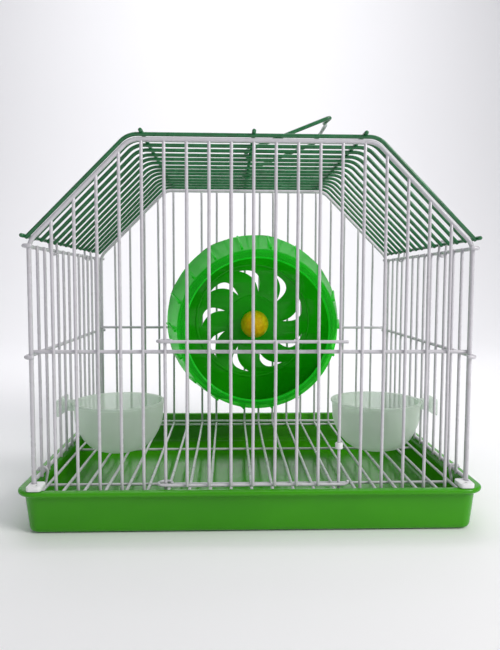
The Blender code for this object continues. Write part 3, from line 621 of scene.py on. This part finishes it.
handle_bm = bmesh.new()
loop_r, handle_lift = 0.00285, 22.0         # the grip stands up 22 degrees from the roof
reach, half_grip, dip = 0.0582, 0.038, 0.0022
ring = [(loop_r * math.cos(math.radians(a)), loop_r * math.sin(math.radians(a)), half_grip)
        for a in range(340, 89, -10)]
corner_path = bent([(0.0, loop_r, half_grip), (reach, loop_r, half_grip),
                    (reach, loop_r, half_grip - 0.008)], 0.0032, 6)[1:-1]
grip_reach = half_grip - 0.005
grip = []
for i in range(17):
    y = grip_reach * (1 - i / 8)
    near_end = abs(y) / grip_reach
    grip.append((reach - dip * math.exp(-((near_end - 0.78) / 0.16) ** 2), loop_r, y))
side_path = ring + corner_path
path = [(x, -y, z) for x, z, y in side_path] + [(x, -y, z) for x, z, y in grip]
path += [(x, y, z) for x, z, y in reversed(side_path)]
tilt = Matrix.Translation((0, 0, hinge_z)) @ Matrix.Rotation(-math.radians(handle_lift), 4, 'Y')
tube(handle_bm, [tilt @ Vector(p) for p in path], frame_r, 12)
ready("handle_wire", handle_bm, green_coat, "handle", "carry_handle")


# ====================================================================== the wheel disc
# Back of the exercise wheel, moulded in deep green: a flat disc with nine crescent
# openings, a waved edge, a turned-in ring that the drum fits over and a boss for the axle.

axle_place = Vector((0.0067075, 0.07795, 0.1123168))
axle_yaw, axle_droop = 1.6, 3.5             # degrees
on_axle = (Matrix.Translation(axle_place) @ Matrix.Rotation(math.radians(axle_yaw), 4, 'Z')
           @ Matrix.Rotation(math.radians(90 + axle_droop), 4, 'X'))
wheel_r, drum_depth = 0.0745, 0.056


def crescent(angle, steps=16):
    """Outline of a crescent opening, from its outer tip to its inner tip and back."""
    tip_r, root_r = 0.6 * wheel_r, 0.345 * wheel_r
    turned = angle - math.radians(26)
    tip = Vector((tip_r * math.cos(angle), tip_r * math.sin(angle), 0.0))
    root = Vector((root_r * math.cos(turned), root_r * math.sin(turned), 0.0))
    chord = root - tip
    out = Vector((-chord.y, chord.x, 0.0)).normalized()

    def bowed(depth, share):
        """A point part of the way along the chord, bowed out from it."""
        return tip + chord * share + out * depth * 4 * share * (1 - share)
    outer = [bowed(0.13 * wheel_r, i / steps) for i in range(steps + 1)]
    inner = [bowed(0.06 * wheel_r, i / steps) for i in range(steps - 1, 0, -1)]
    return outer + inner


edge = []
wave = 0.0015
for i in range(180):
    angle = math.tau * i / 180
    radius = wheel_r - 0.0002 - wave * (0.5 - 0.5 * math.cos(angle * 9))
    edge.append((radius * math.cos(angle), radius * math.sin(angle)))
openings = [[(p.x, p.y) for p in crescent(math.radians(26 + 40 * i))] for i in range(9)]
disc_bm = cut_plate([edge] + openings, 0.002, 0.0002)
bmesh.ops.transform(disc_bm, verts=disc_bm.verts,
                    matrix=on_axle @ Matrix.Translation((0, 0, -0.001)))
# profiles are (radius, distance along the axle towards the front)
drum_seat = [(0.0711, -0.0005), (0.0711, 0.0021), (0.0707, 0.0025), (0.0700, 0.0025),
             (0.0696, 0.0021), (0.0696, -0.0005)]
bead = [(0.0500, -0.0004), (0.0496, 0.0004), (0.0488, 0.0006), (0.0480, 0.0004), (0.0476, -0.0004)]
boss = [(0.0230, -0.0004), (0.0222, 0.0006), (0.0150, 0.0012), (0.0105, 0.0026), (0.0085, 0.0060),
        (0.0075, 0.0117), (0.0071, 0.0121), (0.0026, 0.0121), (0.0026, -0.0004)]
back_boss = [(0.0026, -0.0016), (0.0026, -0.0050), (0.0071, -0.0050), (0.0075, -0.0046),
             (0.0075, -0.0016)]
for profile, steps in ((drum_seat, 96), (bead, 96), (boss, 64), (back_boss, 48)):
    lathe(disc_bm, profile, steps, on_axle)

deep_green, tree, shader = new_finish("deep_green_styrene")
stir = tint(tree, cloud(tree, 22, 3.0), (0.3, (0.012, 0.330, 0.003)), (0.7, (0.022, 0.440, 0.006)))
tree.links.new(stir, shader.inputs["Base Color"])
tree.links.new(spread(tree, cloud(tree, 90, 4.0), 0.16, 0.28), shader.inputs["Roughness"])
shader.inputs["Specular IOR Level"].default_value = 0.22
rings_coord = tree.nodes.new("ShaderNodeTexCoord")
rings_place = tree.nodes.new("ShaderNodeVectorMath")
rings_place.operation = 'SUBTRACT'
rings_place.inputs[1].default_value = axle_place
turning = tree.nodes.new("ShaderNodeTexWave")
turning.wave_type = 'RINGS'
turning.rings_direction = 'Y'
turning.inputs["Scale"].default_value = 160.0
turning.inputs["Distortion"].default_value = 0.4
tree.links.new(rings_coord.outputs["Object"], rings_place.inputs[0])
tree.links.new(rings_place.outputs["Vector"], turning.inputs["Vector"])
polish = dented(tree, turning.outputs["Fac"], 0.00002, 0.4)
tree.links.new(dented(tree, cloud(tree, 18, 1.0), 0.0008, 0.5, polish), shader.inputs["Normal"])
ready("wheel_back_disc", disc_bm, deep_green, "wheel", "wheel_disc", 35)


# ====================================================================== the wheel drum
# The running track: a tapered ring in clear green plastic that is pushed over the disc's
# ring.  Eighteen ribs stiffen it outside, and its front edge turns in to a flat lip.

def clear_plastic(name, through, body_colour, opacity, roughness, glowing):
    """Tinted see-through plastic: light passes in a tint, and the moulding still shows."""
    material, tree, shader = new_finish(name)
    pass_through = tree.nodes.new("ShaderNodeBsdfTransparent")
    deeper = tuple(0.93 * channel for channel in through)
    tree.links.new(tint(tree, cloud(tree, 30, 2.0), (0.3, through), (0.7, deeper)),
                   pass_through.inputs["Color"])
    low, high = body_colour
    tree.links.new(tint(tree, cloud(tree, 26, 3.0), (0.3, low), (0.7, high)),
                   shader.inputs["Base Color"])
    tree.links.new(spread(tree, cloud(tree, 60, 3.0), *roughness), shader.inputs["Roughness"])
    tree.links.new(dented(tree, cloud(tree, 45, 2.0), 0.0006, 0.5), shader.inputs["Normal"])
    facing = tree.nodes.new("ShaderNodeLayerWeight")
    facing.inputs["Blend"].default_value = 0.35
    cover = tree.nodes.new("ShaderNodeMapRange")
    cover.inputs["To Min"].default_value = opacity[0]
    cover.inputs["To Max"].default_value = opacity[1]
    tree.links.new(facing.outputs["Facing"], cover.inputs["Value"])
    glow = tree.nodes.new("ShaderNodeBsdfTranslucent")
    glow.inputs["Color"].default_value = (*high, 1.0)
    solid = tree.nodes.new("ShaderNodeMixShader")
    solid.inputs["Fac"].default_value = glowing
    tree.links.new(shader.outputs["BSDF"], solid.inputs[1])
    tree.links.new(glow.outputs["BSDF"], solid.inputs[2])
    both = tree.nodes.new("ShaderNodeMixShader")
    tree.links.new(cover.outputs["Result"], both.inputs["Fac"])
    tree.links.new(pass_through.outputs["BSDF"], both.inputs[1])
    tree.links.new(solid.outputs["Shader"], both.inputs[2])
    tree.links.new(both.outputs["Shader"], tree.nodes["Material Output"].inputs["Surface"])
    return material, tree, shader


clear_green, tree, shader = clear_plastic(
    "clear_green_styrene", through=(0.36, 0.95, 0.30), body_colour=((0.06, 0.82, 0.08), (0.10, 0.94, 0.13)),
    opacity=(0.30, 0.86), roughness=(0.06, 0.16), glowing=0.6)
shader.inputs["Specular IOR Level"].default_value = 0.28
lip_green, tree, shader = clear_plastic(
    "clear_green_lip_edge", through=(0.40, 0.98, 0.32), body_colour=((0.03, 0.92, 0.05), (0.05, 0.98, 0.08)),
    opacity=(0.66, 0.96), roughness=(0.08, 0.2), glowing=0.5)
shader.inputs["Specular IOR Level"].default_value = 0.22

drum_bm = bmesh.new()
mouth_r, front_r, back_r = 0.0554, 0.0625, 0.0737
lathe(drum_bm, [(back_r, 0.0006), (back_r, 0.0018), (back_r - 0.0004, 0.0030),
                (front_r + 0.0004, drum_depth - 0.0030), (front_r, drum_depth - 0.0010),
                (front_r - 0.0005, drum_depth + 0.0006), (front_r - 0.0014, drum_depth + 0.0010),
                (mouth_r + 0.0012, drum_depth + 0.0014), (mouth_r + 0.0003, drum_depth + 0.0010),
                (mouth_r, drum_depth + 0.0003), (mouth_r, drum_depth - 0.0004),
                (mouth_r + 0.0006, drum_depth - 0.0007), (front_r - 0.0028, drum_depth - 0.0022),
                (front_r - 0.0018, drum_depth - 0.0040), (back_r - 0.0018, 0.0020),
                (back_r - 0.0018, 0.0006)], 108, on_axle, closed=True)
taper = Matrix.Rotation(-math.atan2(back_r - front_r, drum_depth), 4, 'Y')
on_wall = Matrix.Translation(((back_r + front_r) / 2, 0, drum_depth / 2)) @ taper
for i in range(18):
    before = set(drum_bm.verts)
    bevelled_block(drum_bm, (-0.0012, -0.0008, -0.0245), (0.0016, 0.0008, 0.0245), 0.0004, 2)
    rib = [vert for vert in drum_bm.verts if vert not in before]
    spin = Matrix.Rotation(math.radians(1 + 20 * i), 4, 'Z')
    bmesh.ops.transform(drum_bm, verts=rib, matrix=on_axle @ spin @ on_wall)
drum = ready("wheel_running_drum", drum_bm, clear_green, "wheel", "wheel_drum",
             50)
drum.data.materials.append(lip_green)
lip_limit = mouth_r + 0.0022
for face in drum.data.polygons:
    local = on_axle.inverted() @ face.center
    if math.hypot(local.x, local.y) < lip_limit and local.z > drum_depth - 0.003:
        face.material_index = 1


# =========================================================================== hub cap
# A yellow moulded ball with a flat back, pushed on the axle's end to hold the wheel on.

hub_bm = bmesh.new()
ball_r, ball_z, flat_z = 0.0114, 0.0205, 0.0124
socket_r, socket_end = 0.0026, 0.0235
flat_angle = math.asin((flat_z - ball_z) / ball_r)
ball = []
for i in range(24):
    angle = flat_angle + (math.radians(90) - flat_angle) * i / 24
    ball.append((ball_r * math.cos(angle), ball_z + ball_r * math.sin(angle)))
lathe(hub_bm, [(socket_r, socket_end), (socket_r, flat_z)] + ball + [(0.0, ball_z + ball_r)], 48, on_axle)
yellow, tree, shader = new_finish("yellow_speckled_plastic")
blotches = tint(tree, cloud(tree, 330, 4.0), (0.32, (0.70, 0.33, 0.002)), (0.5, (0.80, 0.43, 0.004)),
                (0.68, (0.88, 0.56, 0.012)))
tree.links.new(blotches, shader.inputs["Base Color"])
tree.links.new(spread(tree, cloud(tree, 500, 3.0), 0.38, 0.55), shader.inputs["Roughness"])
shader.inputs["Specular IOR Level"].default_value = 0.12
tree.links.new(dented(tree, cloud(tree, 520, 3.0), 0.0003, 0.6), shader.inputs["Normal"])
ready("hub_ball", hub_bm, yellow, "wheel", "hub_cap")


# ============================================================== axle, bracket and nut
# A zinc-plated pin carries the wheel.  It is held in a green block inside the back panel,
# which a second block and a round nut outside clamp to the wires.

axle_bm = bmesh.new()
lathe(axle_bm, [(0.0, -0.0243), (0.0018, -0.0243), (0.0022, -0.0239), (0.0022, 0.0226), (0.0018, 0.0230),
                (0.0, 0.0230)], 32, on_axle)
zinc, tree, shader = new_finish("zinc_plated_pin")
tree.links.new(tint(tree, cloud(tree, 260, 4.0), (0.3, (0.42, 0.43, 0.45)), (0.7, (0.60, 0.61, 0.62))),
               shader.inputs["Base Color"])
shader.inputs["Metallic"].default_value = 1.0
tree.links.new(spread(tree, cloud(tree, 400, 3.0, (1, 1, 0.1)), 0.25, 0.45), shader.inputs["Roughness"])
tree.links.new(dented(tree, cloud(tree, 800, 2.0), 0.00003, 0.5), shader.inputs["Normal"])
ready("axle_pin", axle_bm, zinc, "cage", "wheel_axle")

bracket_x, bracket_z, bracket_half = 0.00635, 0.1131, 0.01195
bracket_bm = bmesh.new()
bevelled_block(bracket_bm, (bracket_x - bracket_half, 0.09075, bracket_z - 0.0054),
               (bracket_x + bracket_half, 0.09475, bracket_z + 0.0054), 0.0010)
lathe(bracket_bm, [(0.0026, -0.0056), (0.0044, -0.0056), (0.0048, -0.0060), (0.0050, -0.0140)],
      32, on_axle)
ready("bracket_block", bracket_bm, deep_green, "cage", "wheel_bracket")

nut_bm = bmesh.new()
bevelled_block(nut_bm, (bracket_x - bracket_half, 0.09725, bracket_z - 0.006),
               (bracket_x + bracket_half, 0.09975, bracket_z + 0.006), 0.0007)
to_back = Matrix.Rotation(math.radians(-90), 4, 'X')
knob_z, grip_r, grip_y = bracket_z + 0.0005, 0.0056, 0.1009
lathe(nut_bm, [(0.0026, 0.1037), (0.0046, 0.1037), (0.0054, 0.1033), (0.0058, 0.1025), (0.0058, 0.0990)],
      32, Matrix.Translation((bracket_x, 0.0, knob_z)) @ to_back)
for i in range(12):
    turn = math.tau * i / 12
    grip_place = Matrix.Translation((bracket_x + grip_r * math.cos(turn), grip_y,
                                     knob_z + grip_r * math.sin(turn)))
    lathe(nut_bm, [(0.0, 0.0017), (0.0005, 0.0016), (0.0006, 0.0), (0.0005, -0.0016), (0.0, -0.0017)],
          8, grip_place @ to_back)
ready("nut_block", nut_bm, deep_green, "cage", "wheel_nut")


# ========================================================================== the bowls
# Two cups of frosted polypropylene.  Each has a short neck under its rim that passes
# between two side wires to a plate outside; a quarter turn locks it there.

frosted, tree, shader = clear_plastic(
    "frosted_polypropylene", through=(0.90, 0.95, 0.91), body_colour=((0.80, 0.86, 0.80), (0.88, 0.92, 0.88)),
    opacity=(0.42, 0.80), roughness=(0.34, 0.5), glowing=0.5)

bowl_r, rim_z, bowl_floor, wall = 0.0315, 0.0615, 0.026, 0.0016
bowl_x, bowl_y = 0.0924, -side_pitch        # in the gap between two side wires
neck_x, neck_z = 0.1222, 0.058
plate_x, plate_thick, plate_half_y, plate_half_z = 0.1315, 0.0022, 0.013, 0.0058
depth = rim_z - bowl_floor
# the cup's section as (radius, height from the rim), down outside and up inside
outside = [(bowl_r + 0.0004, 0.0), (bowl_r + 0.0008, -0.0004), (bowl_r + 0.0008, -0.0013),
           (bowl_r + 0.0003, -0.0018), (bowl_r - 0.0001, -0.0024), (bowl_r - 0.0006, -0.35 * depth),
           (0.955 * bowl_r, -0.46 * depth), (0.88 * bowl_r, -0.62 * depth), (0.80 * bowl_r, -0.75 * depth),
           (0.68 * bowl_r, -0.865 * depth), (0.55 * bowl_r, -0.945 * depth), (0.40 * bowl_r, -0.99 * depth),
           (0.36 * bowl_r, -depth), (0.0, -depth)]
inside = [(0.0, -depth + wall), (0.38 * bowl_r, -0.985 * depth + wall)]
inside += [(r - wall * 0.82, z + wall * 0.6) for r, z in reversed(outside[6:11])]
inside += [(bowl_r - 0.0006 - wall, -0.35 * depth), (bowl_r - wall, -0.002),
           (bowl_r - wall + 0.0003, -0.0003)]
for hand, side in (("left", -1), ("right", 1)):
    bowl_bm = bmesh.new()
    lathe(bowl_bm, [(r, rim_z + z) for r, z in outside + inside], 72,
          Matrix.Translation((side * bowl_x, bowl_y, 0.0)), closed=True)
    outwards = Matrix.Rotation(side * math.radians(90), 4, 'Y')
    lathe(bowl_bm, [(0.0046, 0.0006), (0.0041, 0.0016), (0.0040, 0.0090), (0.0044, 0.0098)], 24,
          Matrix.Translation((side * neck_x, bowl_y, neck_z)) @ outwards)
    near_x, far_x = sorted((side * plate_x, side * (plate_x + plate_thick)))
    bevelled_block(bowl_bm, (near_x, bowl_y - plate_half_y, neck_z - plate_half_z),
                   (far_x, bowl_y + plate_half_y, neck_z + plate_half_z), 0.0008)
    ready(f"bowl_{hand}_cup", bowl_bm, frosted, f"{hand}_bowl", f"bowl_{hand}")
